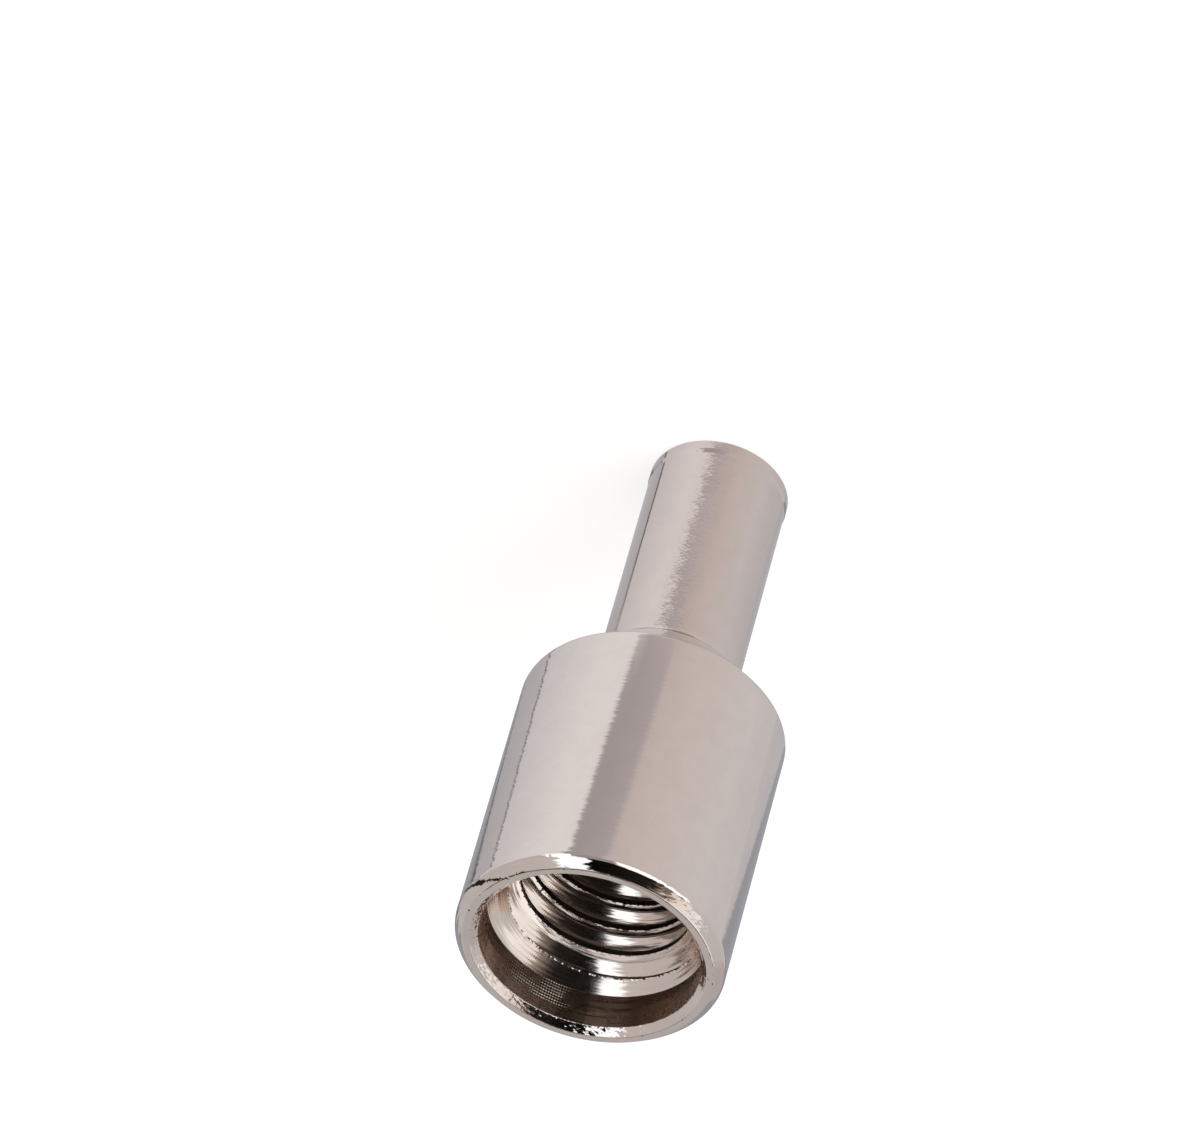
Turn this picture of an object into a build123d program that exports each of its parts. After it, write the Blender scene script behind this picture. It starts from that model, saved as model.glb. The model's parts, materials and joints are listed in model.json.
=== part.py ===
from build123d import *
from build123d.topology import SkipClean
import os
from math import radians, tan

# Screw-on barrel of a speaker plug, turned in one piece from brass bar and nickel plated: a wide
# body with a threaded mouth, a cone shoulder, and a narrow tail that the cable leaves by.
# Millimetres. Z is the turning axis: Z = 0 is the flat end of the tail and the mouth is on top.

# Tail
CABLE_BORE_D = 3.8
TAIL_WALL = 0.73
TAIL_LENGTH = 9.9
TAIL_EDGE_R = 0.12          # rounding of the outer edge at the flat end
TAIL_LIP = 0.035            # how far the parting tool left the end of the tail proud
TAIL_LIP_LENGTH = 0.45
TAIL_LIP_SLOPE_LENGTH = 0.2
CABLE_CHAMFER = 0.2         # so that the bore's edge doesn't cut the cable
NECK_FILLET_R = 0.3         # where the tail meets the cone

# Cone shoulder and body
CONE_LENGTH = 2.5
SHOULDER_FILLET_R = 0.15
BODY_LENGTH = 11.47
MOUTH_WALL = 0.9            # wall round the counterbore
RIM_CHAMFER = 0.36          # outer edge of the mouth
RIM_FILLET_R = 0.2          # where that chamfer meets the body
MOUTH_CHAMFER = 0.26        # inner edge of the mouth

# Thread and the bores it runs between
THREAD_D = 8.0
THREAD_PITCH = 1.25
FLANK_ANGLE = 60            # between the two flanks of a groove
ROOT_SHARE = 1 / 8          # width of the groove's floor, in pitches
DEPTH_SHARE = 0.6           # depth of the groove, in pitches
COUNTERBORE_CLEARANCE = 0.1
COUNTERBORE_DEPTH = 1.77
LEAD_IN_ANGLE = 45          # the cone at the counterbore's floor, from the axis
GROOVE_ENTRY = 0.12         # the groove ends this far above the counterbore's floor, in free space
TAP_RUN_OUT = 2.0           # plain bore that the tap needs past the last thread
BORE_FLOOR = 1.35           # the plain bore ends this far above the shoulder
DRILL_POINT_ANGLE = 118
GROOVE_ANGLE = 0            # where round the axis the groove starts, from +X
BORE_QUARTERS = 4

# Radii and heights that follow
cable_bore_r = CABLE_BORE_D / 2
tail_r = cable_bore_r + TAIL_WALL
lip_r = tail_r + TAIL_LIP
thread_r = THREAD_D / 2
crest_r = thread_r - DEPTH_SHARE * THREAD_PITCH
counterbore_r = thread_r + COUNTERBORE_CLEARANCE
body_r = counterbore_r + MOUTH_WALL

shoulder_z = TAIL_LENGTH + CONE_LENGTH
mouth_z = shoulder_z + BODY_LENGTH
counterbore_floor_z = mouth_z - COUNTERBORE_DEPTH
lead_in_end_z = counterbore_floor_z - (counterbore_r - crest_r) / tan(radians(LEAD_IN_ANGLE))
bore_end_z = shoulder_z + BORE_FLOOR
drill_tip_z = bore_end_z - (crest_r - cable_bore_r) / tan(radians(DRILL_POINT_ANGLE / 2))

flank_slope = tan(radians(FLANK_ANGLE / 2))
crest_width = THREAD_PITCH * (1 - ROOT_SHARE - 2 * DEPTH_SHARE * flank_slope)
groove_top_z = counterbore_floor_z + GROOVE_ENTRY
groove_turns = int((groove_top_z - bore_end_z - TAP_RUN_OUT) / THREAD_PITCH)
groove_bottom_z = groove_top_z - groove_turns * THREAD_PITCH


def corner(section, r, z):
    """The vertex of a section that lies at this radius and height"""
    return section.vertices().sort_by_distance((r, 0, z))[0]


def turned(points, roundings=(), sweep_angle=360):
    """A solid turned about Z from its half section's (radius, height) points, with some corners rounded"""
    outline = [(r, 0, z) for r, z in points]
    section = make_face(Polyline(*outline, close=True))
    for r, z, radius in roundings:
        section = fillet(corner(section, r, z), radius)
    return revolve(section, Axis.Z, sweep_angle)


def sleeve():
    """The whole sleeve before the thread, with the counterbore running down to the end of the bore"""
    outside = [
        (lip_r, 0),
        (lip_r, TAIL_LIP_LENGTH),
        (tail_r, TAIL_LIP_LENGTH + TAIL_LIP_SLOPE_LENGTH),
        (tail_r, TAIL_LENGTH),
        (body_r, shoulder_z),
        (body_r, mouth_z - RIM_CHAMFER),
        (body_r - RIM_CHAMFER, mouth_z),
    ]
    inside = [
        (counterbore_r + MOUTH_CHAMFER, mouth_z),
        (counterbore_r, mouth_z - MOUTH_CHAMFER),
        (counterbore_r, bore_end_z),
        (crest_r, bore_end_z),
        (cable_bore_r, drill_tip_z),
        (cable_bore_r, CABLE_CHAMFER),
        (cable_bore_r + CABLE_CHAMFER, 0),
    ]
    roundings = [
        (lip_r, 0, TAIL_EDGE_R),
        (tail_r, TAIL_LENGTH, NECK_FILLET_R),
        (body_r, shoulder_z, SHOULDER_FILLET_R),
        (body_r, mouth_z - RIM_CHAMFER, RIM_FILLET_R),
    ]
    return turned(outside + inside, roundings)


def bore_wall_quarter():
    """A quarter of the wall between the counterbore and the bore that the thread is cut in"""
    return turned(
        [
            (counterbore_r, bore_end_z),
            (crest_r, bore_end_z),
            (crest_r, lead_in_end_z),
            (counterbore_r, counterbore_floor_z),
        ],
        sweep_angle=360 / BORE_QUARTERS,
    )


def groove_turn():
    """The first turn of the right-hand groove: a trapezoid on a helix, standing a little into the bore"""
    overcut = crest_width / 4
    inner_r = crest_r - overcut
    half_root = ROOT_SHARE * THREAD_PITCH / 2
    half_mouth = half_root + (thread_r - inner_r) * flank_slope
    helix = Helix(
        pitch=THREAD_PITCH,
        height=THREAD_PITCH,
        radius=thread_r,
        center=(0, 0, groove_bottom_z),
    )
    profile = make_face(
        Polyline(
            (inner_r, 0, groove_bottom_z - half_mouth),
            (thread_r, 0, groove_bottom_z - half_root),
            (thread_r, 0, groove_bottom_z + half_root),
            (inner_r, 0, groove_bottom_z + half_mouth),
            close=True,
        )
    )
    return Rot(Z=GROOVE_ANGLE) * sweep(profile, path=helix, is_frenet=True)


def plug_barrel():
    """The finished barrel. The bore's wall keeps the seams of its quarters, so no crest face is long"""
    quarter = bore_wall_quarter()
    turn = groove_turn()
    with SkipClean():
        barrel = sleeve()
        for n in range(BORE_QUARTERS):
            barrel += Rot(Z=GROOVE_ANGLE + (n + 1 / 2) * 360 / BORE_QUARTERS) * quarter
        for n in range(groove_turns):
            barrel -= Pos(Z=n * THREAD_PITCH) * turn
    return barrel


os.makedirs("parts", exist_ok=True)
export_step(plug_barrel(), "parts/plug_barrel.step")
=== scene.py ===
import json
from math import ceil, cos, degrees, exp, hypot, pi, radians, sin, tan

import bpy
import numpy as np
from mathutils import Matrix, Vector


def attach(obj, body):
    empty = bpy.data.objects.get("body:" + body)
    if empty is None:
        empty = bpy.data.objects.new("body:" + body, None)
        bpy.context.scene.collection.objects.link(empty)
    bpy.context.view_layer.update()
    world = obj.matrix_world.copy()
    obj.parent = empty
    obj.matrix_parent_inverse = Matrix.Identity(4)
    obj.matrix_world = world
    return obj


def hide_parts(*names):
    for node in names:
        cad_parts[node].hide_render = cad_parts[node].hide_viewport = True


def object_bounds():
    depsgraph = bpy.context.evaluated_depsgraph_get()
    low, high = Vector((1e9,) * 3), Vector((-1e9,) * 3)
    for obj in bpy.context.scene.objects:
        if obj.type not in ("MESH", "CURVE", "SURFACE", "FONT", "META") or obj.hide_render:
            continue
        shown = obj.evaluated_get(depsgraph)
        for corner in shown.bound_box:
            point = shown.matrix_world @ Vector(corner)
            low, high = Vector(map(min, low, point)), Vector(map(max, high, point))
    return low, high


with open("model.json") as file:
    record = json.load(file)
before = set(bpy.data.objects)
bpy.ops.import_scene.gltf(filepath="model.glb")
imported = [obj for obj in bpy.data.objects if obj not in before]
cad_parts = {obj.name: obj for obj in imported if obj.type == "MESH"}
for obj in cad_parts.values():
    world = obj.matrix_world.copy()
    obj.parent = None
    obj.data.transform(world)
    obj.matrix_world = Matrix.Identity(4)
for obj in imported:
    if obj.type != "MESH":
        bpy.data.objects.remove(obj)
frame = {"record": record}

# Looks of a speaker plug barrel: one turned, tapped and nickel-plated sleeve that stands on its
# tail with the threaded mouth on top. Metres, in the frame's own axes; lengths named _MM are in
# millimetres.
MM = 0.001
cad_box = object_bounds()
mounts = {m["name"]: m for m in frame["record"]["mounts"]}


def mount_r(name):
    """A round mount's radius in millimetres"""
    return mounts[name]["dims"]["r_mm"]


def mount_z(name):
    """A mount's height in millimetres"""
    return mounts[name]["pos_m"][2] / MM


# Radii and heights that the frame gives
BODY_R = cad_box[1].x / MM
MOUTH_Z = cad_box[1].z / MM
TAIL_R = mount_r("tail")
CREST_R = mount_r("mouth_thread")
COUNTERBORE_R = mount_r("mouth_counterbore")
CABLE_R = mount_r("cable_bore")
LEAD_IN_LOW_Z = mount_z("mouth_thread")
BORE_END_Z = LEAD_IN_LOW_Z - mounts["mouth_thread"]["dims"]["length_mm"]

# The rest of the turned outline, in millimetres, as the part is made
TAIL_LENGTH_MM = 9.9
CONE_LENGTH_MM = 2.5
LIP_MM = 0.035              # how far the end of the tail stands proud
LIP_R = TAIL_R + LIP_MM
LIP_LENGTH_MM = 0.45
LIP_SLOPE_MM = 0.2
END_ROUND_MM = 0.12
CABLE_CHAMFER_MM = 0.2
NECK_FILLET_MM = 0.3
SHOULDER_FILLET_MM = 0.15
RIM_CHAMFER_MM = 0.36
MOUTH_CHAMFER_MM = 0.26
RIM_ROUND_MM = 0.30         # the rim's chamfer runs into the outside in a wide curve
SMALL_ROUND_MM = 0.05       # the corners of the mouth's chamfer
FACE_ROUND_MM = 0.10        # where the rim's chamfer meets the face
DRILL_POINT_DEG = 118
LEAD_IN_HIGH_Z = LEAD_IN_LOW_Z + COUNTERBORE_R - CREST_R

# The thread, in millimetres
PITCH_MM = 1.25
TURNS = 5
GROOVE_MM = [               # section of the groove: out from the crest, up from its lower corner
    (0.0, 0.0),
    (0.03, 0.016),
    (0.11, 0.060),
    (0.215, 0.128),
    (0.228, 0.106),         # a fine step in the lower flank
    (0.25, 0.142),
    (0.61, 0.486),
    (0.75, 0.54),
    (0.75, 0.589),
    (0.0, 1.022),
]
GROOVE_WIDTH_MM = GROOVE_MM[-1][1]
GROOVE_ENTRY_MM = 0.12      # how far above the counterbore's floor the groove comes in
START_Z = LEAD_IN_HIGH_Z + GROOVE_ENTRY_MM - TURNS * PITCH_MM
FADE_TURNS = 0.6            # the tap's chamfered teeth cut the first stretch shallower
LEAST_FADE = 0.02
BURR_MM = 0.03              # how far torn metal stands into the bore along a crest's upper corner
LEDGE_MM = 0.03             # the torn ledge where the lead-in cone meets the groove
TEAR_REACH_MM = 0.035       # the tear ends this far from the ledge
PLAIN_ROW_MM = 0.3          # the plain bore has a row this far above its end
PAST_CONE_MM = 1            # the groove's outline is followed this far past the cone

# The mesh
COLUMNS = 576
GUARD_MM = 0.04             # a row this far from each corner keeps the long faces truly straight
LEAD_IN_ROWS = 6
ROW_GAP_MM = 0.01           # these rows keep this far from the groove's
ARC_STEP_DEG = 6
SHARP_DEG = 9
RIM_FINISH_MM = 0.5         # the rim's own finish reaches this far down from the mouth
SAME_R_MM = 1e-6            # radii nearer than this are the same
SAME = 1e-9                 # and so are angles and heights in the thread
RIPPLE_NORM = 1.4           # brings a ripple's highest waves to about 1

# Wear of the rim's corners
WEAR_MM = 0.02              # depth of the deepest dents
WEAR_REACH_MM = 0.07
WEAR_LEVELS = (0.1, 0.7, 0.6, 0.7)      # how rare the dents are on each corner, from the bore out
NICK_FROM_DEG = -10         # where a dark nick leaves the chamfer's outer edge
NICK_DEG = 42               # how far round the rim it runs
NICK_WIDTH = 0.17           # in widths of the chamfer, as the next two
NICK_START = 1.32           # how far down from the face it starts
NICK_RISE = 2.0             # how far it would climb over its whole length; it stops at the face
NICK_BLOB = 0.34            # how far along it is thickest, as a share
PITTED_DEG = -125           # middle of a pitted stretch of the same chamfer
PITTED_HALF_DEG = 22


class Ripple:
    """Smooth seeded noise of one number, about -1 to 1, repeating every `period`"""

    def __init__(self, seed, period, waves):
        rng = np.random.default_rng(seed)
        self.scale = 2 * pi / period
        self.waves = [(n, rng.uniform(0, 2 * pi), rng.uniform(0.5, 1)) for n in waves]
        self.norm = sum(a for _, _, a in self.waves) ** 0.5 * RIPPLE_NORM

    def __call__(self, x):
        return sum(a * sin(n * x * self.scale + p) for n, p, a in self.waves) / self.norm


def rounded(points, roundings):
    """A polyline in (r, z) with arcs at some corners, given as {index: radius}"""
    out = []
    for i, p in enumerate(points):
        if i not in roundings:
            out.append(p)
            continue
        radius = roundings[i]
        corner = Vector(p)
        a = (Vector(points[i - 1]) - corner).normalized()
        b = (Vector(points[i + 1]) - corner).normalized()
        half = a.angle(b) / 2
        centre = corner + (a + b).normalized() * (radius / sin(half))
        start = corner + a * (radius / tan(half)) - centre
        segments = ceil(degrees(pi - 2 * half) / ARC_STEP_DEG)
        sweep = (pi - 2 * half) * (1 if a.cross(b) < 0 else -1)
        for k in range(segments + 1):
            c, s = cos(sweep * k / segments), sin(sweep * k / segments)
            turned = Vector((c * start.x - s * start.y, s * start.x + c * start.y))
            out.append(tuple(centre + turned))
    return out


def guarded(points):
    """Adds a row just inside both ends of each long straight run"""
    out = [points[0]]
    for p, q in zip(points, points[1:]):
        length = hypot(q[0] - p[0], q[1] - p[1])
        if length > 4 * GUARD_MM:
            t = GUARD_MM / length
            out.append((p[0] + (q[0] - p[0]) * t, p[1] + (q[1] - p[1]) * t))
            out.append((q[0] - (q[0] - p[0]) * t, q[1] - (q[1] - p[1]) * t))
        out.append(q)
    return out


wear = [
    Ripple(21, 2 * pi, [41, 67, 97, 131, 163, 187]),
    Ripple(22, 2 * pi, [17, 31, 53, 71, 101, 127]),
    Ripple(23, 2 * pi, [23, 37, 59, 89, 113, 139]),
    Ripple(24, 2 * pi, [19, 43, 61, 79, 103, 137]),
]
WORN_CORNERS = [
    Vector((COUNTERBORE_R, MOUTH_Z - MOUTH_CHAMFER_MM)),
    Vector((COUNTERBORE_R + MOUTH_CHAMFER_MM, MOUTH_Z)),
    Vector((BODY_R - RIM_CHAMFER_MM, MOUTH_Z)),
    Vector((BODY_R, MOUTH_Z - RIM_CHAMFER_MM)),
]
INTO_THE_RIM = Vector(((COUNTERBORE_R + BODY_R) / 2, MOUTH_Z - RIM_CHAMFER_MM))


def worn(r, z, theta):
    """A point of the rim after its corners were dented"""
    place = Vector((r, z))
    depth = 0
    for ripple, level, corner in zip(wear, WEAR_LEVELS, WORN_CORNERS):
        near = exp(-((place - corner).length / WEAR_REACH_MM) ** 2)
        depth += WEAR_MM * near * max(0, ripple(theta) - level)
    return place + (INTO_THE_RIM - place).normalized() * depth


def outside_profile():
    """From the counterbore's floor up, over the rim, down the outside and up the cable's bore"""
    shoulder_z = TAIL_LENGTH_MM + CONE_LENGTH_MM
    drill_z = BORE_END_Z - (CREST_R - CABLE_R) / tan(radians(DRILL_POINT_DEG / 2))
    points = [
        (COUNTERBORE_R, LEAD_IN_HIGH_Z),
        (COUNTERBORE_R, MOUTH_Z - MOUTH_CHAMFER_MM),
        (COUNTERBORE_R + MOUTH_CHAMFER_MM, MOUTH_Z),
        (BODY_R - RIM_CHAMFER_MM, MOUTH_Z),
        (BODY_R - RIM_CHAMFER_MM * 2 / 3, MOUTH_Z - RIM_CHAMFER_MM / 3),
        (BODY_R - RIM_CHAMFER_MM / 3, MOUTH_Z - RIM_CHAMFER_MM * 2 / 3),
        (BODY_R, MOUTH_Z - RIM_CHAMFER_MM),
        (BODY_R, shoulder_z),
        (TAIL_R, TAIL_LENGTH_MM),
        (TAIL_R, LIP_LENGTH_MM + LIP_SLOPE_MM),
        (LIP_R, LIP_LENGTH_MM),
        (LIP_R, 0),
        (CABLE_R + CABLE_CHAMFER_MM, 0),
        (CABLE_R, CABLE_CHAMFER_MM),
        (CABLE_R, drill_z),
        (CREST_R, BORE_END_Z),
    ]
    roundings = {
        1: SMALL_ROUND_MM,
        2: SMALL_ROUND_MM,
        3: FACE_ROUND_MM,
        6: RIM_ROUND_MM,
        7: SHOULDER_FILLET_MM,
        8: NECK_FILLET_MM,
        11: END_ROUND_MM,
    }
    return guarded(rounded(points, roundings))


burr = Ripple(11, 2 * pi, [23, 37, 51, 68, 89, 113, 149])
tear = Ripple(12, 2 * pi, [29, 43, 61, 83, 109, 151])


def groove_points(m, phi):
    """One crossing of the groove at helix angle phi, from below: (key, r, z)"""
    fade = min(1, max(LEAST_FADE, phi / (2 * pi * FADE_TURNS)))
    low_z = START_Z + PITCH_MM * phi / (2 * pi) - GROOVE_WIDTH_MM * fade / 2
    points = []
    for k, (out, up) in enumerate(GROOVE_MM):
        points.append(((m, k), CREST_R + out * fade, low_z + up * fade))
    torn = max(0, burr(phi + m)) * BURR_MM
    key, r, z = points[0]
    points[0] = (key, r - torn, z + torn / 2)
    return points


def lead_in_r(z):
    """Radius of the lead-in cone at a height, or nothing below it"""
    return CREST_R + z - LEAD_IN_LOW_Z if z >= LEAD_IN_LOW_Z else 0


def thread_outline(theta):
    """The groove's outline at one azimuth, as if no cone led into it: (key, r, z) from below"""
    outline = [("plain", CREST_R, BORE_END_Z + PLAIN_ROW_MM)]
    for m in range(-1, TURNS + 1):
        phi = theta + 2 * pi * m
        if -SAME <= phi <= 2 * pi * TURNS + SAME:
            outline += groove_points(m, max(phi, 0))
    outline.append(("end", CREST_R, LEAD_IN_HIGH_Z + PAST_CONE_MM))
    return outline


def bare_spans(wall):
    """The heights (from, to) between which the lead-in cone is wider than the groove"""
    spans = []
    entered = None
    for key, _, z in wall:
        if key[0] == "in":
            entered = z
        if key[0] == "out":
            spans.append((entered, z))
            entered = None
    if entered is not None:
        spans.append((entered, LEAD_IN_HIGH_Z))
    return spans


def bore_column(theta):
    """The wall from the plain bore up to the counterbore's floor at one azimuth: (key, r, z) from below.

    The wall is the groove's outline or the lead-in cone, whichever is wider."""
    thread = thread_outline(theta)
    wall = [thread[0]]
    last_m = -1
    for (_, r0, z0), (key, r1, z1) in zip(thread, thread[1:]):
        if key != "end":
            last_m = key[0]
        stops = [0.0, 1.0]
        if z0 < LEAD_IN_LOW_Z < z1:
            stops.insert(1, (LEAD_IN_LOW_Z - z0) / (z1 - z0))
        for s, t in zip(stops, stops[1:]):
            ra, za = r0 + (r1 - r0) * s, z0 + (z1 - z0) * s
            rb, zb = r0 + (r1 - r0) * t, z0 + (z1 - z0) * t
            if zb <= LEAD_IN_LOW_Z + SAME:
                if t == 1.0:
                    wall.append((key, rb, zb))
                else:
                    wall.append((("in", last_m), rb, zb))
                continue
            ga, gb = ra - lead_in_r(za), rb - lead_in_r(zb)
            if ga * gb < 0:
                u = ga / (ga - gb)
                rx, zx = ra + (rb - ra) * u, za + (zb - za) * u
                if zx < LEAD_IN_HIGH_Z and ga > 0:
                    slope = (rb - ra) / (zb - za)
                    torn = tear(theta + last_m) * LEDGE_MM
                    wall.append((("below", last_m), rx - slope * TEAR_REACH_MM, zx - TEAR_REACH_MM))
                    wall.append((("in", last_m), rx - torn, zx))
                    wall.append((("above", last_m), rx + TEAR_REACH_MM, zx + TEAR_REACH_MM))
                elif zx < LEAD_IN_HIGH_Z:
                    wall.append((("out", last_m), rx, zx))
            if t == 1.0 and gb > 0 and zb < LEAD_IN_HIGH_Z:
                wall.append((key, rb, zb))
    # Rows of the bare cone, where no groove is wider than it
    spans = bare_spans(wall)
    for k in range(1, LEAD_IN_ROWS):
        z = LEAD_IN_LOW_Z + (LEAD_IN_HIGH_Z - LEAD_IN_LOW_Z) * k / LEAD_IN_ROWS
        if any(low + TEAR_REACH_MM + ROW_GAP_MM < z < high - ROW_GAP_MM for low, high in spans):
            wall.append((("cone", k), lead_in_r(z), z))
    wall.append(("top", COUNTERBORE_R, LEAD_IN_HIGH_Z))
    return sorted(wall, key=lambda p: p[2])


OUTSIDE, RIM, BORE, CREST = range(4)


def finish_above(key):
    """Which finish the wall has just above a row of the bore"""
    if key in ("bottom", "plain") or key[1] == len(GROOVE_MM) - 1:
        return CREST
    return BORE


def stitch(a, b, faces, finishes):
    """Joins two neighbouring columns of (key, vertex index) from below, like keys to like"""
    in_b = {key: n for n, (key, _) in enumerate(b)}
    i = j = 0
    while i < len(a) - 1 or j < len(b) - 1:
        finishes.append(finish_above(a[i][0]))
        next_a = a[i + 1][0] if i < len(a) - 1 else None
        next_b = b[j + 1][0] if j < len(b) - 1 else None
        if next_a is not None and next_a == next_b:
            faces.append((a[i][1], a[i + 1][1], b[j + 1][1], b[j][1]))
            i += 1
            j += 1
        elif next_b is None or (next_a is not None and in_b.get(next_a, -1) <= j):
            faces.append((a[i][1], a[i + 1][1], b[j][1]))
            i += 1
        else:
            faces.append((a[i][1], b[j + 1][1], b[j][1]))
            j += 1


def point(r, theta, z):
    """A place in metres from a radius, an azimuth and a height"""
    return (r * cos(theta) * MM, r * sin(theta) * MM, z * MM)


def ring_finish(p, q):
    """Which finish the surface has between two neighbouring rows of the turned outline"""
    widest = max(p[0], q[0])
    if min(p[1], q[1]) > MOUTH_Z - RIM_FINISH_MM:
        return RIM if widest > COUNTERBORE_R + SAME_R_MM else BORE
    if widest <= COUNTERBORE_R + SAME_R_MM and p[1] >= LEAD_IN_HIGH_Z:
        return BORE
    if q[1] > p[1] and p[1] >= CABLE_CHAMFER_MM:
        return CREST
    return OUTSIDE


def barrel_mesh():
    """The whole surface as one closed mesh"""
    profile = outside_profile()
    verts = []
    faces = []
    finishes = []
    rings = []
    for r, z in profile:
        rings.append([])
        for c in range(COLUMNS):
            theta = 2 * pi * c / COLUMNS
            rings[-1].append(len(verts))
            rw, zw = worn(r, z, theta) if z > MOUTH_Z - RIM_FINISH_MM else (r, z)
            verts.append(point(rw, theta, zw))
    for low, high, p, q in zip(rings, rings[1:], profile, profile[1:]):
        for c in range(COLUMNS):
            d = (c + 1) % COLUMNS
            faces.append((low[c], high[c], high[d], low[d]))
            finishes.append(ring_finish(p, q))
    columns = []
    for c in range(COLUMNS):
        theta = 2 * pi * c / COLUMNS
        column = [("bottom", rings[-1][c])]
        for key, r, z in bore_column(theta)[:-1]:
            column.append((key, len(verts)))
            verts.append(point(r, theta, z))
        column.append(("top", rings[0][c]))
        columns.append(column)
    last = ["bottom"] + [key for key, _, _ in bore_column(2 * pi)]
    if len(last) != len(columns[0]):
        raise ValueError(f"the thread doesn't close: {len(last)} rows meet {len(columns[0])}")
    columns.append([(key, vertex) for key, (_, vertex) in zip(last, columns[0])])
    for a, b in zip(columns, columns[1:]):
        stitch(a, b, faces, finishes)
    mesh = bpy.data.meshes.new("barrel")
    mesh.from_pydata(verts, [], faces)
    mesh.polygons.foreach_set("material_index", finishes)
    mesh.shade_smooth()
    mesh.set_sharp_from_angle(angle=radians(SHARP_DEG))
    return mesh


class Nodes:
    """Short calls that add nodes to one node tree and return their output sockets"""

    def __init__(self, tree):
        self.tree = tree
        tree.nodes.clear()

    def add(self, kind, **values):
        node = self.tree.nodes.new(kind)
        for name, value in values.items():
            setattr(node, name, value)
        return node

    def put(self, socket, value):
        if isinstance(value, bpy.types.NodeSocket):
            self.tree.links.new(value, socket)
        else:
            socket.default_value = value

    def math(self, operation, a, b=0.0, c=0.0, clamp=False):
        node = self.add("ShaderNodeMath", operation=operation, use_clamp=clamp)
        for socket, value in zip(node.inputs, (a, b, c)):
            self.put(socket, value)
        return node.outputs[0]

    def vector(self, operation, a, b=(0, 0, 0), scale=1.0):
        node = self.add("ShaderNodeVectorMath", operation=operation)
        self.put(node.inputs[0], a)
        if operation == "SCALE":
            self.put(node.inputs["Scale"], scale)
        elif operation not in ("LENGTH", "NORMALIZE"):
            self.put(node.inputs[1], b)
        return node.outputs["Value" if operation == "LENGTH" else "Vector"]

    def split(self, vector):
        node = self.add("ShaderNodeSeparateXYZ")
        self.put(node.inputs[0], vector)
        return node.outputs

    def join(self, x, y, z):
        node = self.add("ShaderNodeCombineXYZ")
        for socket, value in zip(node.inputs, (x, y, z)):
            self.put(socket, value)
        return node.outputs[0]

    def step(self, value, low, high):
        """0 below low, 1 above high, smooth between"""
        node = self.add("ShaderNodeMapRange", interpolation_type="SMOOTHSTEP")
        self.put(node.inputs["Value"], value)
        self.put(node.inputs["From Min"], low)
        self.put(node.inputs["From Max"], high)
        return node.outputs[0]

    def mix(self, factor, a, b):
        node = self.add("ShaderNodeMix", data_type="RGBA")
        self.put(node.inputs["Factor"], factor)
        self.put(node.inputs["A"], a)
        self.put(node.inputs["B"], b)
        return node.outputs["Result"]

    def noise(self, vector, scale, detail, roughness):
        node = self.add("ShaderNodeTexNoise", noise_dimensions="3D")
        self.put(node.inputs["Vector"], vector)
        self.put(node.inputs["Scale"], scale)
        self.put(node.inputs["Detail"], detail)
        self.put(node.inputs["Roughness"], roughness)
        return node.outputs["Fac"]

    def ramp(self, factor, stops):
        """A colour ramp from a list of (position, (r, g, b))"""
        node = self.add("ShaderNodeValToRGB")
        elements = node.color_ramp.elements
        while len(elements) > 1:
            elements.remove(elements[-1])
        elements[0].position = stops[0][0]
        elements[0].color = (*stops[0][1], 1)
        for position, colour in stops[1:]:
            elements.new(position).color = (*colour, 1)
        self.put(node.inputs[0], factor)
        return node.outputs[0]


# The studio: rings of panels round the part, given as (azimuth they end at, brightness where they
# start, brightness where they end, tint there, tint there), from SEAM_DEG on, with the azimuth
# falling. Degrees from +X.
SEAM_DEG = 96
WHITE = (1.0, 1.03, 1.05)
PALE = (1.0, 0.98, 1.01)
NEUTRAL = (1.0, 0.965, 0.97)
IVORY = (1.0, 0.95, 0.92)
CREAM = (1.0, 0.91, 0.82)
ROSE = (1.0, 0.91, 0.925)
WARM = (1.0, 0.895, 0.86)
BROWN = (1.0, 0.79, 0.68)
COOL = (1.0, 1.01, 1.10)
TAIL_RING = [               # seen in the tail
    (31.5, 0.53, 0.60, COOL, PALE),
    (28.0, 0.12, 0.12, WARM, WARM),
    (-30, 0.76, 0.965, PALE, NEUTRAL),
    (-60, 0.965, 0.98, NEUTRAL, NEUTRAL),
    (-66, 0.93, 0.64, NEUTRAL, ROSE),
    (-82, 0.61, 0.68, ROSE, ROSE),
    (-92, 0.70, 0.72, ROSE, WARM),
    (-112, 0.69, 0.785, WARM, WARM),
    (-160, 0.785, 0.785, WARM, NEUTRAL),
    (-222, 0.785, 0.62, NEUTRAL, PALE),
    (-264, 0.57, 0.50, PALE, COOL),
]
LOW_RING = [                # seen in the body
    (29.4, 0.35, 0.60, PALE, PALE),
    (27.5, 0.04, 0.04, PALE, PALE),
    (-30, 0.74, 0.98, PALE, NEUTRAL),
    (-52.6, 0.98, 0.99, NEUTRAL, NEUTRAL),
    (-83, 0.465, 0.54, ROSE, ROSE),
    (-88, 0.58, 0.73, ROSE, WARM),
    (-118, 0.72, 0.785, WARM, WARM),
    (-170, 0.785, 0.785, WARM, NEUTRAL),
    (-212, 0.785, 0.71, NEUTRAL, NEUTRAL),
    (-264, 0.66, 0.50, NEUTRAL, COOL),
]
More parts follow.
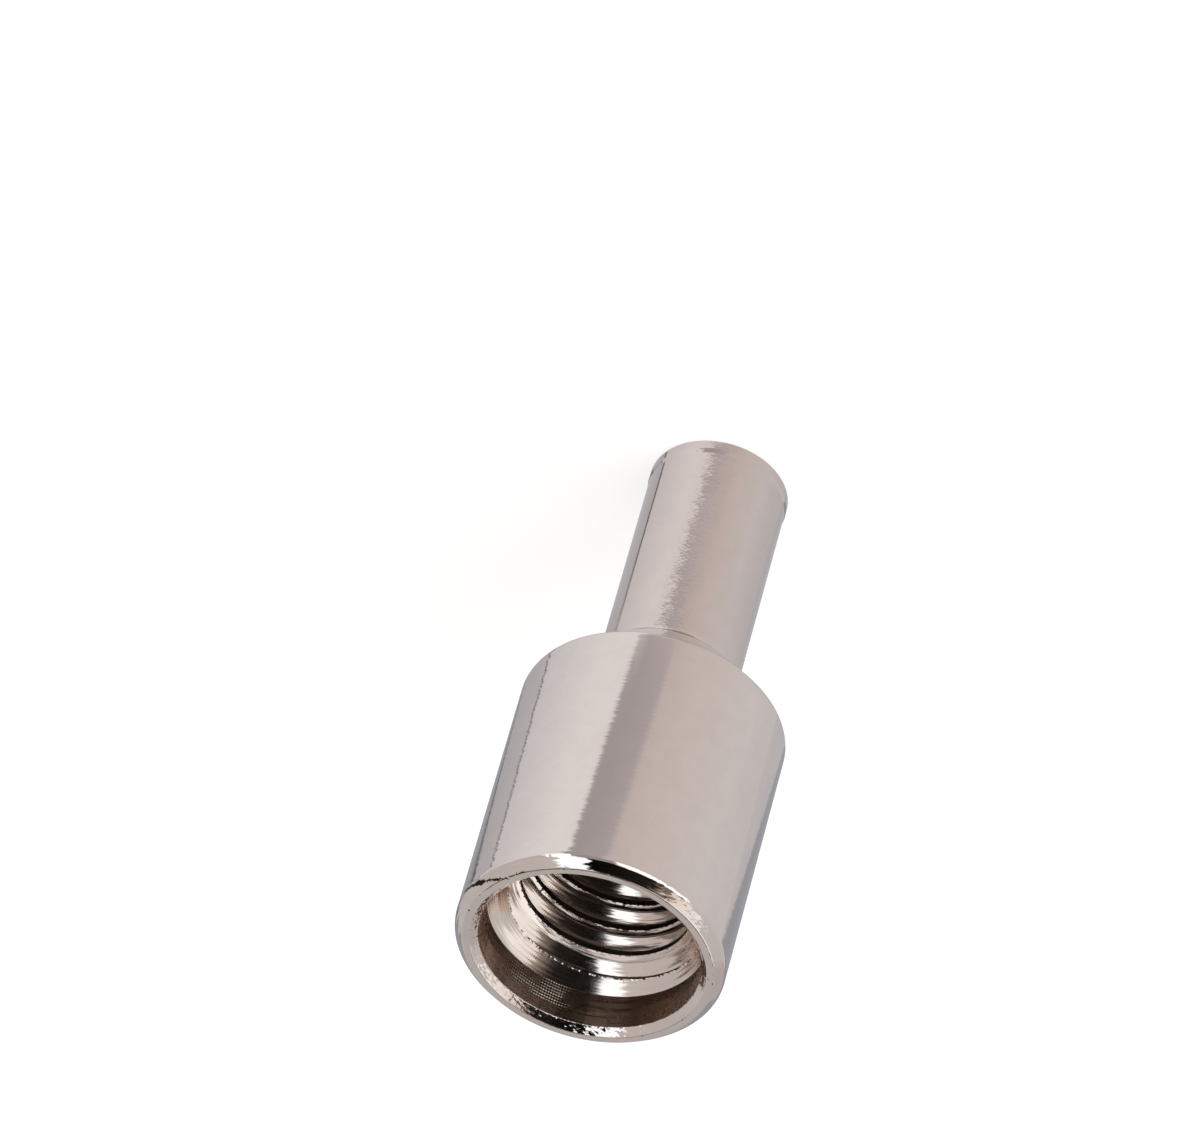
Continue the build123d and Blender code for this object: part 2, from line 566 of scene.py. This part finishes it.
LEVEL_RING = [              # seen in the outer curve of the rim
    (28, 0.68, 0.68, NEUTRAL, IVORY),
    (-37, 0.66, 0.68, IVORY, WARM),
    (-57, 1.6, 1.6, WHITE, WHITE),
    (-92, 0.40, 0.40, NEUTRAL, NEUTRAL),
    (-150, 1.6, 1.6, WHITE, WHITE),
    (-212, 0.78, 0.70, IVORY, IVORY),
    (-264, 0.60, 0.58, WARM, IVORY),
]
HIGH_RING = [               # seen in the chamfers and the lead-in cone
    (28, 0.62, 0.62, IVORY, WARM),
    (-40, 0.68, 0.74, WARM, WARM),
    (-66, 1.6, 1.6, WHITE, WHITE),
    (-128, 0.0, 0.02, BROWN, BROWN),
    (-148, 0.03, 0.42, BROWN, BROWN),
    (-165, 1.15, 1.15, CREAM, IVORY),
    (-225, 1.2, 1.45, IVORY, IVORY),
    (-264, 0.62, 0.62, IVORY, IVORY),
]
TOP_RING = [                # seen in the thread
    (28, 0.50, 0.60, WARM, WARM),
    (-5, 0.95, 0.95, IVORY, IVORY),
    (-55, 1.1, 1.1, IVORY, IVORY),
    (-145, 0.05, 0.12, BROWN, BROWN),
    (-170, 1.1, 1.1, CREAM, IVORY),
    (-188, 0.1, 0.1, BROWN, BROWN),
    (-225, 1.4, 1.4, IVORY, IVORY),
    (-264, 0.60, 0.60, IVORY, IVORY),
]
# The two cards behind the part are centred on SEAM_DEG
LOW_CARD = (0.38, COOL)     # its two sides lean in towards the floor
LOW_CARD_EDGE = (0.10, ROSE)
LOW_CARD_EDGE_DEG = 9       # how wide the other shade along one side is at the card's top
LOW_CARD_TOP_DEG = -40.2
LOW_CARD_SIDES_DEG = (46, 48)       # how far each side is from the middle at that height
LOW_CARD_LEANS = (17, 19)           # how many degrees each side moves in for each degree down
LOW_CARD_DROP_DEG = 1.9     # and how far down they go on doing so
SOFT_DEG = 0.1              # the least width of the shade along its side
HIGH_CARD = (0.05, BROWN)
HIGH_CARD_FROM_DEG = 46
HIGH_CARD_HALF_DEG = 40
EDGE_DEG = 0.5
SPREAD = 0.11               # how much wider apart the low panels stand for each degree down
SPREAD_FROM = (-12, -41)    # azimuth and elevation where they stay as listed
SPREAD_REACH = (-45, 42)    # azimuths from there that it grows up to
SPREAD_TOP_DEG = -40.0      # and the elevation above which it no longer changes
LOW_FROM_DEG = -42.12       # elevations where the rings start, each above the last
LEVEL_FROM_DEG = -6
HIGH_FROM_DEG = 31
TOP_FROM_DEG = 62
BLEND_DEG = 3               # from one ring to the next
FLOOR_DARK_DEG = -78        # below this a plain shade stands in for the floor, which the metal can't see
UNDER_THE_PART = (0.35, 0.32, 0.30, 1)


def shade(level, tint):
    """A colour of the studio"""
    return tuple(level * c for c in tint) + (1,)


def panel_ring(nodes, turn, panels):
    """The colour of a ring of panels, where turn runs from 0 to 1 as the azimuth falls from SEAM_DEG"""
    stops = []
    start = SEAM_DEG
    for end, first, last, first_tint, last_tint in panels:
        edges = ((start - EDGE_DEG / 2, first, first_tint), (end + EDGE_DEG / 2, last, last_tint))
        for azimuth, level, tint in edges:
            position = min(1, max(0, (SEAM_DEG - azimuth) / 360))
            stops.append((position, shade(level, tint)[:3]))
        start = end
    return nodes.ramp(turn, stops)


def low_card(n, colour, behind, elevation, low):
    """The studio's colour after the card low behind the part is put in front of its panels"""
    drop = n.math("SUBTRACT", LOW_CARD_TOP_DEG, elevation)
    drop = n.math("MINIMUM", n.math("MAXIMUM", drop, 0.0), LOW_CARD_DROP_DEG)
    sides = (behind, n.math("MULTIPLY", behind, -1))
    inside = [
        n.math("SUBTRACT", n.math("MULTIPLY_ADD", drop, -lean, half), side)
        for side, half, lean in zip(sides, LOW_CARD_SIDES_DEG, LOW_CARD_LEANS)
    ]
    narrowing = -LOW_CARD_EDGE_DEG / LOW_CARD_DROP_DEG
    edge_width = n.math("MULTIPLY_ADD", drop, narrowing, LOW_CARD_EDGE_DEG + SOFT_DEG)
    past_edge = n.step(inside[0], 0.0, edge_width)
    card_colour = n.mix(past_edge, shade(*LOW_CARD_EDGE), shade(*LOW_CARD))
    card = n.math("GREATER_THAN", n.math("MINIMUM", *inside), 0.0)
    for limit in (n.math("LESS_THAN", elevation, LEVEL_FROM_DEG), low):
        card = n.math("MULTIPLY", card, limit)
    return n.mix(card, colour, card_colour)


def high_card(n, colour, behind, elevation):
    """The studio's colour after the card high behind the part is put in front of its panels"""
    half_blend = BLEND_DEG / 2
    above = n.step(elevation, HIGH_CARD_FROM_DEG - half_blend, HIGH_CARD_FROM_DEG + half_blend)
    off_middle = n.math("ABSOLUTE", behind)
    width = n.step(off_middle, HIGH_CARD_HALF_DEG + BLEND_DEG, HIGH_CARD_HALF_DEG)
    return n.mix(n.math("MULTIPLY", above, width), colour, shade(*HIGH_CARD))


def studio():
    """The world: plain white behind the part, and the panels as its metal sees them"""
    world = bpy.data.worlds.new("studio")
    world.use_nodes = True
    bpy.context.scene.world = world
    n = Nodes(world.node_tree)
    direction = n.add("ShaderNodeTexCoord").outputs["Generated"]
    x, y, z = n.split(direction)
    elevation = n.math("DEGREES", n.math("ARCSINE", z))
    azimuth = n.math("DEGREES", n.math("ARCTAN2", y, x))
    turn = n.math("FRACT", n.math("DIVIDE", n.math("SUBTRACT", SEAM_DEG + 360, azimuth), 360))
    low = n.math("GREATER_THAN", elevation, LOW_FROM_DEG)
    offset = n.math("SUBTRACT", azimuth, SPREAD_FROM[0])
    offset = n.math("MINIMUM", n.math("MAXIMUM", offset, SPREAD_REACH[0]), SPREAD_REACH[1])
    rise = n.math("SUBTRACT", n.math("MINIMUM", elevation, SPREAD_TOP_DEG), SPREAD_FROM[1])
    spread = n.math("MULTIPLY", n.math("MULTIPLY", offset, rise), -SPREAD / 360)
    low_turn = n.math("ADD", turn, spread, clamp=True)
    colour = n.mix(low, panel_ring(n, turn, TAIL_RING), panel_ring(n, low_turn, LOW_RING))
    rings = ((LEVEL_FROM_DEG, LEVEL_RING), (HIGH_FROM_DEG, HIGH_RING), (TOP_FROM_DEG, TOP_RING))
    for start, ring in rings:
        above = n.step(elevation, start - BLEND_DEG / 2, start + BLEND_DEG / 2)
        colour = n.mix(above, colour, panel_ring(n, turn, ring))
    behind = n.math("SUBTRACT", n.math("FRACT", n.math("ADD", turn, 0.5)), 0.5)
    behind = n.math("MULTIPLY", behind, 360)
    colour = low_card(n, colour, behind, elevation, low)
    colour = high_card(n, colour, behind, elevation)
    below = n.step(elevation, FLOOR_DARK_DEG, FLOOR_DARK_DEG - BLEND_DEG)
    colour = n.mix(below, colour, UNDER_THE_PART)
    camera_ray = n.add("ShaderNodeLightPath").outputs["Is Camera Ray"]
    colour = n.mix(camera_ray, colour, (1, 1, 1, 1))
    background = n.add("ShaderNodeBackground")
    n.put(background.inputs["Color"], colour)
    output = n.add("ShaderNodeOutputWorld")
    n.put(output.inputs["Surface"], background.outputs[0])


NICKEL = (0.705, 0.655, 0.625)
# painted shade: a darker copy of the nickel for the tail
TAIL_SHADED_NICKEL = (0.655, 0.595, 0.565)
RIM_NICKEL = (0.69, 0.64, 0.615)
# painted shade: the counterbore wall's dark brown
WALL_PAINTED_SHADE = (0.47, 0.35, 0.28)
CHATTER_HIGHLIGHT = (0.95, 0.88, 0.80)     # painted highlight on the chatter's ridges
# painted shade: the near-black colour of the crests and the deep bore
CREST_PAINTED_SHADE = (0.16, 0.14, 0.125)
# a dark colour: painted shade in the chatter's grooves, and the dark painted along the rim's nick
DARK_NICK_AND_SHADE = (0.02, 0.015, 0.012)
CLOUD = (0.3, 0.25, 0.22)
CLOUD_SHARE = 0.06          # how much of that tone the cloudiest places take
CLOUD_NOISE = (1.2, 4.0, 0.6)           # scale, detail and roughness
CLOUD_LEVELS = (0.3, 0.7)
CLOUD_ROUGHENS = 0.3        # the roughness is multiplied by CLEAR_SHARE, and this more in a cloud
CLEAR_SHARE = 0.85
BODY_ROUGHNESS = 0.05
TAIL_ROUGHENS = 0.03        # how much rougher the tail is than the body
RIM_ROUGHNESS = 0.07
NICK_ROUGHENS = 0.5
BORE_ROUGHNESS = 0.13
WALL_ROUGHENS = 0.13
CREST_ROUGHNESS = 0.35

# Turning marks and pits: width in millimetres, tilt in degrees, seed, times longer than wide
BODY_MARKS = (0.10, 0.8, 0, 50)
RIM_ACROSS = (0.09, 2.5, 4, 50)
RIM_SIDEWAYS = (0.10, 1.6, 5, 6)
RIM_PITS = (0.09, 5.0, 10, 2.5)
BORE_ACROSS = (0.10, 3.5, 6, 50)
BORE_SIDEWAYS = (0.10, 1.3, 7, 50)
CREST_ACROSS = (0.07, 2.0, 8, 50)
CREST_SIDEWAYS = (0.07, 0.5, 9, 50)
MARK_NOISE = (3.0, 0.7)     # detail and roughness
NOISE_SPREAD = 8            # Blender's noise mostly stays within an eighth of its middle
SEED_STEP_MM = 10           # seeds start this far apart in the noise

# Scratches on one side of the tail, where the turning marks are weaker
SCRATCH_MM = 0.05
SCRATCH_LONG = 7            # how many times longer they are than wide
SCRATCH_DEG = 3.0
SCRATCH_SEED = 2
SCRATCH_NOISE = (1.0, 0.5)  # detail and roughness
SCRATCH_SLANTS_DEG = (-30, 25)
SCRATCH_MIDDLE_DEG = -77
SCRATCH_HALF_DEG = 22
TAIL_EDGE_MM = 0.3          # the tail's finish runs into the body's over this far each way
TAIL_SMOOTHS = 0.7          # how much of the turning marks the tail lacks

# Chatter of the tool, in one stretch of the bore
CHATTER_TURNS = 250         # beats of the tool round the bore
CHATTER_ROWS_MM = 0.13
CHATTER_DASHES = (0.55, 0.45)           # how much the beats change the rows, and their middle
CHATTER_FROM_DEG = 42
CHATTER_TO_DEG = 96
CHATTER_EDGE_DEG = 15
CHATTER_FADE_MM = (1.3, 0.8)            # it ends and is full this far above the counterbore's floor
CHATTER_NOISE = (1.0, 2.0, 0.5)         # scale, detail and roughness
CHATTER_PATCHES = (0.35, 0.5)           # where in that noise it starts and is full
CHATTER_LEVELS = (0.1, 0.6)             # where its painted highlight and shade start and are full
CHATTER_SEEN = 0.2          # how strong its painted highlight and shade are off the counterbore's wall; on it they are full
CHATTER_DEG = 3.0           # tilt off that wall
WALL_LEAN_DEG = -36.0       # added to it on that wall: the ridges lean up
WALL_TURN_DEG = 5.0
WALL_EDGE_MM = 0.02

# The nick and the pits of the rim
NICK_NOISE = (9.0, 3.0, 0.7)            # scale, detail and roughness
NICK_RAGGED = 0.5           # how far its sides wander, in chamfers
NICK_TAPER = 1.05           # how far along it would come to a point
NICK_BLOB_SLOPE = -12.0     # how fast it thins out from its thickest place
NICK_CORE = 0.6             # it is fully dark this share of the way to its sides
NICK_INNER_MM = 0.04        # how far inside the chamfer it may reach
INNER_EDGE_MM = (0.03, -0.05)           # where the finish of the inner chamfer starts and is full
OUTER_EDGE_MM = (-0.02, 0.06)           # and that of the outer one


class Finish(Nodes):
    """The node tree of one finish, with the places that its noises start from, in millimetres"""

    def __init__(self, name):
        self.material = bpy.data.materials.new(name)
        self.material.use_nodes = True
        super().__init__(self.material.node_tree)
        self.place = self.vector("SCALE", self.add("ShaderNodeTexCoord").outputs["Object"], scale=1 / MM)
        self.x, self.y, self.z = self.split(self.place)
        flat = self.join(self.x, self.y, 0.0)
        self.r = self.vector("LENGTH", flat)
        self.around = self.vector("CROSS_PRODUCT", (0, 0, 1), self.vector("NORMALIZE", flat))
        self.normal = self.add("ShaderNodeNewGeometry").outputs["Normal"]
        # Up an outside wall, and down an inside one
        self.crosswise = self.vector("CROSS_PRODUCT", self.normal, self.around)

    def angle(self):
        """Azimuth in degrees"""
        return self.math("DEGREES", self.math("ARCTAN2", self.y, self.x))

    def tilt(self, streaks, width_mm, degrees_out, noise):
        """Tilt in radians from noise of this width, which lies evenly to both sides"""
        value = self.math("SUBTRACT", self.noise(streaks, 1 / width_mm, *noise), 0.5)
        return self.math("MULTIPLY", value, NOISE_SPREAD * radians(degrees_out))

    def marks(self, width_mm, degrees_out, seed, long):
        """Tilt in radians from marks round the axis, `long` times longer than wide"""
        streaks = self.join(
            self.math("MULTIPLY_ADD", self.x, 1 / long, self.r),
            self.math("MULTIPLY", self.y, 1 / long),
            self.math("ADD", self.z, seed * SEED_STEP_MM),
        )
        return self.tilt(streaks, width_mm, degrees_out, MARK_NOISE)

    def scratches(self, slant_deg):
        """Tilt in radians from short scratches that lie at a slant to the turning marks"""
        arc = self.math("MULTIPLY", self.math("ARCTAN2", self.y, self.x), TAIL_R)
        c, s = cos(radians(slant_deg)), sin(radians(slant_deg))
        with_them = self.math("ADD", self.math("MULTIPLY", arc, c), self.math("MULTIPLY", self.z, s))
        across = self.math("SUBTRACT", self.math("MULTIPLY", self.z, c), self.math("MULTIPLY", arc, s))
        lengthwise = self.math("MULTIPLY", with_them, 1 / SCRATCH_LONG)
        streaks = self.join(lengthwise, across, SCRATCH_SEED * SEED_STEP_MM)
        return self.tilt(streaks, SCRATCH_MM, SCRATCH_DEG, SCRATCH_NOISE)

    def chatter(self):
        """The tool's chatter, rows of fine dashes from -1 to 1 in one stretch of the bore"""
        angle = self.angle()
        beat = self.math("MULTIPLY", angle, CHATTER_TURNS * pi / 180)
        row = self.math("MULTIPLY", self.z, 2 * pi / CHATTER_ROWS_MM)
        dashes = self.math("SINE", self.math("ADD", beat, row))
        beats = self.math("MULTIPLY_ADD", dashes, *CHATTER_DASHES)
        waves = self.math("MULTIPLY", beats, self.math("SINE", row))
        stretch = self.math(
            "MULTIPLY",
            self.step(angle, CHATTER_FROM_DEG, CHATTER_FROM_DEG + CHATTER_EDGE_DEG),
            self.step(angle, CHATTER_TO_DEG, CHATTER_TO_DEG - CHATTER_EDGE_DEG),
        )
        patches = self.step(self.noise(self.place, *CHATTER_NOISE), *CHATTER_PATCHES)
        low_down = self.step(self.z, *(LEAD_IN_HIGH_Z + up for up in CHATTER_FADE_MM))
        stretch = self.math("MULTIPLY", stretch, low_down)
        return self.math("MULTIPLY", waves, self.math("MULTIPLY", stretch, patches))

    def tilted(self, across, sideways):
        """The surface's normal after both tilts"""
        aside = self.vector("SCALE", self.around, scale=sideways)
        over = self.vector("SCALE", self.crosswise, scale=across)
        normal = self.vector("ADD", self.vector("ADD", self.normal, aside), over)
        return self.vector("NORMALIZE", normal)

    def metal(self, colour, roughness, normal):
        """The metal itself, a little cloudy"""
        cloud = self.step(self.noise(self.place, *CLOUD_NOISE), *CLOUD_LEVELS)
        shader = self.add("ShaderNodeBsdfPrincipled")
        shader.inputs["Metallic"].default_value = 1.0
        clouded = self.mix(self.math("MULTIPLY", cloud, CLOUD_SHARE), colour, (*CLOUD, 1))
        self.put(shader.inputs["Base Color"], clouded)
        cloudy = self.math("MULTIPLY_ADD", cloud, CLOUD_ROUGHENS, CLEAR_SHARE)
        self.put(shader.inputs["Roughness"], self.math("MULTIPLY", cloudy, roughness))
        self.put(shader.inputs["Normal"], normal)
        output = self.add("ShaderNodeOutputMaterial")
        self.put(output.inputs["Surface"], shader.outputs[0])
        return self.material


def outside_finish():
    """Bright plate, fine turning marks all over, slanted scratches on one side of the tail, and painted
    shade on the tail
    """
    n = Finish("nickel_outside")
    on_tail = n.step(n.z, TAIL_LENGTH_MM + TAIL_EDGE_MM, TAIL_LENGTH_MM - TAIL_EDGE_MM)
    off_side = n.math("ABSOLUTE", n.math("SUBTRACT", n.angle(), SCRATCH_MIDDLE_DEG))
    on_side = n.step(off_side, SCRATCH_HALF_DEG, SCRATCH_HALF_DEG / 2)
    scratched = n.math("MULTIPLY", on_tail, on_side)
    scratches = n.math("ADD", *(n.scratches(slant) for slant in SCRATCH_SLANTS_DEG))
    body_marks = n.marks(*BODY_MARKS)
    even = n.math("MULTIPLY_ADD", on_tail, -TAIL_SMOOTHS, 1.0)
    marks = n.math("MULTIPLY", body_marks, even)
    sideways = n.math("MULTIPLY_ADD", scratches, scratched, marks)
    # painted shade: the tail gets a darker copy of the nickel
    colour = n.mix(on_tail, (*NICKEL, 1), (*TAIL_SHADED_NICKEL, 1))
    roughness = n.math("MULTIPLY_ADD", on_tail, TAIL_ROUGHENS, BODY_ROUGHNESS)
    return n.metal(colour, roughness, n.tilted(0.0, sideways))


def nick(n):
    """How dark the rim is at its nick: 1 in it. Heights are in chamfers down from the face"""
    along = n.math("DIVIDE", n.math("SUBTRACT", NICK_FROM_DEG, n.angle()), NICK_DEG)
    height = n.math("DIVIDE", n.math("SUBTRACT", MOUTH_Z, n.z), RIM_CHAMFER_MM)
    path = n.math("MAXIMUM", n.math("MULTIPLY_ADD", along, -NICK_RISE, NICK_START), 0.0)
    off = n.math("ABSOLUTE", n.math("SUBTRACT", height, path))
    ragged = n.math("SUBTRACT", n.noise(n.place, *NICK_NOISE), 0.5)
    off = n.math("MULTIPLY_ADD", ragged, NICK_RAGGED, off)
    wide = n.math("MULTIPLY", n.math("SUBTRACT", NICK_TAPER, along), NICK_WIDTH)
    off_blob = n.math("ABSOLUTE", n.math("SUBTRACT", along, NICK_BLOB))
    swell = n.math("MULTIPLY_ADD", off_blob, NICK_BLOB_SLOPE, 1.0)
    wide = n.math("MULTIPLY_ADD", n.math("MAXIMUM", swell, 0.0), NICK_WIDTH, wide)
    dark = n.step(off, wide, n.math("MULTIPLY", wide, NICK_CORE))
    on_chamfer = n.math("GREATER_THAN", n.r, BODY_R - RIM_CHAMFER_MM - NICK_INNER_MM)
    for inside in (n.math("GREATER_THAN", along, 0.0), n.math("LESS_THAN", along, 1.0), on_chamfer):
        dark = n.math("MULTIPLY", dark, inside)
    return dark


def rim_finish():
    """The rim: a dark nick and a pitted stretch on its outer chamfer, and pits on the inner one"""
    n = Finish("nickel_rim")
    inner = n.step(n.r, *(COUNTERBORE_R + MOUTH_CHAMFER_MM + out for out in INNER_EDGE_MM))
    outer = n.step(n.r, *(BODY_R - RIM_CHAMFER_MM + out for out in OUTER_EDGE_MM))
    off_stretch = n.math("ABSOLUTE", n.math("SUBTRACT", n.angle(), PITTED_DEG))
    stretch = n.step(off_stretch, PITTED_HALF_DEG, PITTED_HALF_DEG / 2)
    pitted = n.math("MULTIPLY_ADD", outer, stretch, inner)
    pits = n.math("MULTIPLY", n.marks(*RIM_PITS), pitted)
    across = n.math("ADD", n.marks(*RIM_ACROSS), pits)
    sideways = n.math("ADD", n.marks(*RIM_SIDEWAYS), pits)
    dark = nick(n)
    # the nick is a dark colour painted on the chamfer, made rougher too
    colour = n.mix(dark, (*RIM_NICKEL, 1), (*DARK_NICK_AND_SHADE, 1))
    roughness = n.math("MULTIPLY_ADD", dark, NICK_ROUGHENS, RIM_ROUGHNESS)
    return n.metal(colour, roughness, n.tilted(across, sideways))


def bore_finish():
    """The cut faces inside: streaky thread and lead-in cone, a counterbore wall with painted shade in
    dark brown, and painted highlight and shade on the chatter
    """
    n = Finish("nickel_bore")
    on_wall = n.step(n.z, LEAD_IN_HIGH_Z - WALL_EDGE_MM, LEAD_IN_HIGH_Z + WALL_EDGE_MM)
    on_wall = n.math("MULTIPLY", on_wall, n.math("LESS_THAN", n.r, COUNTERBORE_R + WALL_EDGE_MM))
    chatter = n.chatter()
    ridge = radians(CHATTER_DEG)
    lean = n.math("MULTIPLY_ADD", on_wall, radians(WALL_LEAN_DEG), ridge)
    turn = n.math("MULTIPLY_ADD", on_wall, radians(WALL_TURN_DEG), ridge)
    across = n.math("ADD", n.marks(*BORE_ACROSS), n.math("MULTIPLY", chatter, lean))
    sideways = n.math("ADD", n.marks(*BORE_SIDEWAYS), n.math("MULTIPLY", chatter, turn))
    # painted shade: the counterbore wall is coloured dark brown
    colour = n.mix(on_wall, (*NICKEL, 1), (*WALL_PAINTED_SHADE, 1))
    seen = n.math("MULTIPLY_ADD", on_wall, 1 - CHATTER_SEEN, CHATTER_SEEN)
    # painted highlight on the chatter's ridges
    bright = n.math("MULTIPLY", n.step(chatter, *CHATTER_LEVELS), seen)
    colour = n.mix(bright, colour, (*CHATTER_HIGHLIGHT, 1))
    # painted shade in the chatter's grooves
    dark = n.math("MULTIPLY", n.step(chatter, *(-level for level in CHATTER_LEVELS)), seen)
    colour = n.mix(dark, colour, (*DARK_NICK_AND_SHADE, 1))
    roughness = n.math("MULTIPLY_ADD", on_wall, WALL_ROUGHENS, BORE_ROUGHNESS)
    return n.metal(colour, roughness, n.tilted(across, sideways))


def crest_finish():
    """Crests and the deep bore, dull and with painted shade: a near-black nickel colour"""
    n = Finish("nickel_crest")
    normal = n.tilted(n.marks(*CREST_ACROSS), n.marks(*CREST_SIDEWAYS))
    return n.metal((*CREST_PAINTED_SHADE, 1), CREST_ROUGHNESS, normal)


FLOOR_SIZE = 6.0            # metres, as the lengths below
FLOOR_GAP = 0.00001         # keeps the floor off the end of the tail
FLOOR_COLOUR = (0.55, 0.55, 0.55, 1)
FLOOR_GLOW = 0.64           # added for the camera alone, so that the open floor is white
SHADOW_REACH = 0.12         # the floor is plain white past this distance from the axis,
SHADOW_FULL = SHADOW_REACH / 3          # and keeps its whole shadow within this one


def floor():
    """A pale floor that keeps the part's shadow and is plain white further out"""
    mesh = bpy.data.meshes.new("floor")
    h = FLOOR_SIZE / 2
    corners = [(-h, -h, 0), (h, -h, 0), (h, h, 0), (-h, h, 0)]
    mesh.from_pydata(corners, [], [(0, 1, 2, 3)])
    material = bpy.data.materials.new("floor")
    material.use_nodes = True
    n = Nodes(material.node_tree)
    place = n.add("ShaderNodeTexCoord").outputs["Object"]
    out = n.step(n.vector("LENGTH", place), SHADOW_FULL, SHADOW_REACH)
    diffuse = n.add("ShaderNodeBsdfDiffuse")
    diffuse.inputs["Color"].default_value = FLOOR_COLOUR
    glow = n.add("ShaderNodeEmission")
    camera_ray = n.add("ShaderNodeLightPath").outputs["Is Camera Ray"]
    n.put(glow.inputs["Strength"], n.math("MULTIPLY", camera_ray, FLOOR_GLOW))
    lit = n.add("ShaderNodeAddShader")
    n.put(lit.inputs[0], diffuse.outputs[0])
    n.put(lit.inputs[1], glow.outputs[0])
    white = n.add("ShaderNodeEmission")
    mix = n.add("ShaderNodeMixShader")
    n.put(mix.inputs[0], out)
    n.put(mix.inputs[1], lit.outputs[0])
    n.put(mix.inputs[2], white.outputs[0])
    output = n.add("ShaderNodeOutputMaterial")
    n.put(output.inputs["Surface"], mix.outputs[0])
    mesh.materials.append(material)
    ground = bpy.data.objects.new("floor", mesh)
    ground.location.z = -FLOOR_GAP
    ground.visible_glossy = False
    bpy.context.scene.collection.objects.link(ground)


def lamp(name, place, size, power):
    """A soft square lamp that looks at the origin and isn't seen in the metal"""
    data = bpy.data.lights.new(name, "AREA")
    data.shape = "SQUARE"
    data.size = size
    data.energy = power
    light = bpy.data.objects.new(name, data)
    light.location = place
    light.rotation_euler = (-Vector(place)).to_track_quat("-Z", "Y").to_euler()
    light.visible_glossy = False
    bpy.context.scene.collection.objects.link(light)


KEY_PLACE = (-0.25, -0.35, 0.6)
KEY_SIZE = 0.35
KEY_POWER = 1.2
CAMERA_PLACE_MM = (3.50, -248.04, 232.18)
CAMERA_RIGHT = (-0.9599, -0.1891, -0.2069)
CAMERA_UP = (0.2803, -0.6475, -0.7086)
CAMERA_BACK = (0.0, -0.7382, 0.6746)
LENS_MM = 270
SENSOR_MM = 36
CLIP = (0.001, 10)          # metres
BOUNCES = 24                # light goes back and forth inside the bore
MIRROR_BOUNCES = 16


def camera():
    """The photograph's view: from above, and turned so that the mouth is at the foot of the picture"""
    data = bpy.data.cameras.new("camera")
    data.sensor_fit = "HORIZONTAL"
    data.sensor_width = SENSOR_MM
    data.lens = LENS_MM
    data.clip_start, data.clip_end = CLIP
    view = bpy.data.objects.new("camera", data)
    right, up, back = Vector(CAMERA_RIGHT), Vector(CAMERA_UP), Vector(CAMERA_BACK)
    turn = Matrix((right, up, back)).transposed().to_4x4()
    view.matrix_world = Matrix.Translation(Vector(CAMERA_PLACE_MM) * MM) @ turn
    bpy.context.scene.collection.objects.link(view)
    bpy.context.scene.camera = view


def main():
    scene = bpy.context.scene
    scene.view_settings.view_transform = "Standard"
    scene.cycles.max_bounces = BOUNCES
    scene.cycles.glossy_bounces = MIRROR_BOUNCES
    studio()
    floor()
    lamp("key", KEY_PLACE, KEY_SIZE, KEY_POWER)
    camera()
    mesh = barrel_mesh()
    for finish in (outside_finish, rim_finish, bore_finish, crest_finish):
        mesh.materials.append(finish())
    barrel = bpy.data.objects.new("barrel", mesh)
    scene.collection.objects.link(barrel)
    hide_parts("plug_barrel")
    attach(barrel, "root")


def corners(box):
    """A box's two corners as plain lists of numbers"""
    return [list(corner) for corner in box]


main()
